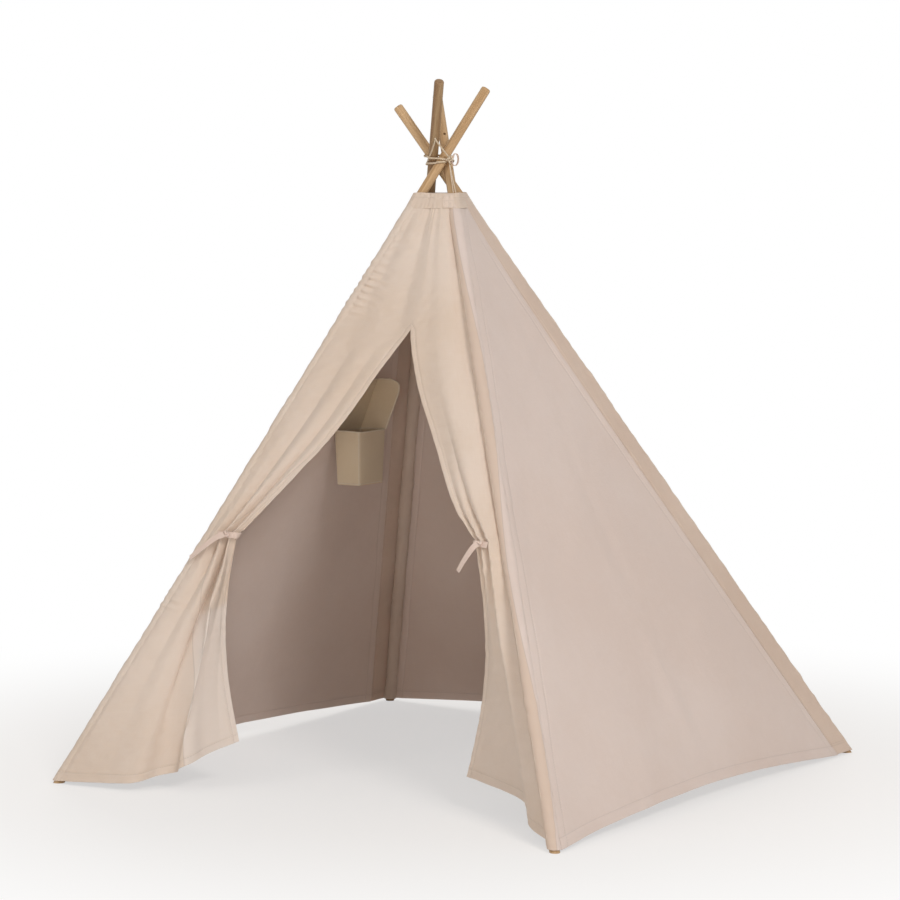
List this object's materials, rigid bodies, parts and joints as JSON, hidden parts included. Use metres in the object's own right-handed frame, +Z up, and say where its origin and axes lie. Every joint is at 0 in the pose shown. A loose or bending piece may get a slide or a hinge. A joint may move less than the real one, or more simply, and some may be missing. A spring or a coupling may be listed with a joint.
{
  "type": "kids teepee",
  "caption": "Pyramid play tent: a cotton cover with a tied-back split door and a hanging inside pocket, on lashed sectional wooden poles that fold together.",
  "frame": {"origin": "middle of the square of pole feet, on the floor", "axes": "+Z up, the door faces -Y, +X to the right when looking at the door"},
  "size_m": [1.2232, 1.2229, 1.4423],
  "materials": {
    "pine": "bare, sanded",
    "connector": "plain zinc-coated tube",
    "canvas": "plain-woven cotton canvas",
    "pocket_canvas": "plain-woven cotton canvas with light piping",
    "rope": "twisted cotton",
    "ribbon": "flat cotton ribbon"
  },
  "bodies": {
    "cover": {"right_wall": "canvas", "back_wall": "canvas", "left_wall": "canvas", "front_yoke": "canvas", "top_band": "canvas", "lashing_rope": "rope", "lashing_knot": "rope", "lashing_bow": "ribbon", "hanging_cords": "rope"},
    "pole_front_left": {"pole_front_left_lower": "pine", "pole_front_left_middle": "pine", "pole_front_left_upper": "pine", "connector_front_left_low": "connector", "connector_front_left_high": "connector", "sleeve_front_left": "canvas", "door_flap_left": "canvas", "tieback_left": "ribbon", "tieback_knot_left": "ribbon", "tieback_tail_left": "ribbon"},
    "pole_front_right": {"pole_front_right_lower": "pine", "pole_front_right_middle": "pine", "pole_front_right_upper": "pine", "connector_front_right_low": "connector", "connector_front_right_high": "connector", "sleeve_front_right": "canvas", "door_flap_right": "canvas", "tieback_right": "ribbon", "tieback_knot_right": "ribbon", "tieback_tail_right": "ribbon"},
    "pole_back_right": {"pole_back_right_lower": "pine", "pole_back_right_middle": "pine", "pole_back_right_upper": "pine", "connector_back_right_low": "connector", "connector_back_right_high": "connector", "sleeve_back_right": "canvas"},
    "pole_back_left": {"pole_back_left_lower": "pine", "pole_back_left_middle": "pine", "pole_back_left_upper": "pine", "connector_back_left_low": "connector", "connector_back_left_high": "connector", "sleeve_back_left": "canvas", "pocket_back": "pocket_canvas", "pocket_box": "pocket_canvas", "pocket_side": "pocket_canvas"}
  },
  "joints": [
    {"name": "fold_front_left", "type": "hinge", "parent": "cover", "child": "pole_front_left", "pos_m": [-0.037, -0.025, 1.278], "axis": [0.7145, -0.6996, 0], "range_deg": [0, 26], "deforming": ["right_wall", "back_wall", "left_wall", "front_yoke", "top_band", "sleeve_front_left", "sleeve_front_right", "sleeve_back_right", "sleeve_back_left", "door_flap_left", "door_flap_right", "tieback_left", "tieback_right", "tieback_tail_left", "tieback_tail_right", "pocket_back", "pocket_box", "pocket_side"]},
    {"name": "fold_front_right", "type": "hinge", "parent": "cover", "child": "pole_front_right", "pos_m": [-0.041, -0.025, 1.278], "axis": [0.6701, 0.7423, 0], "range_deg": [0, 26]},
    {"name": "fold_back_right", "type": "hinge", "parent": "cover", "child": "pole_back_right", "pos_m": [-0.0495, -0.025, 1.278], "axis": [-0.7004, 0.7138, 0], "range_deg": [0, 26]},
    {"name": "fold_back_left", "type": "hinge", "parent": "cover", "child": "pole_back_left", "pos_m": [-0.037, -0.025, 1.278], "axis": [-0.743, -0.6693, 0], "range_deg": [0, 26]}
  ],
  "couplings": [
    {"joint": "fold_front_right", "follows": "fold_front_left", "ratio": 1},
    {"joint": "fold_back_right", "follows": "fold_front_left", "ratio": 1},
    {"joint": "fold_back_left", "follows": "fold_front_left", "ratio": 1}
  ]
}
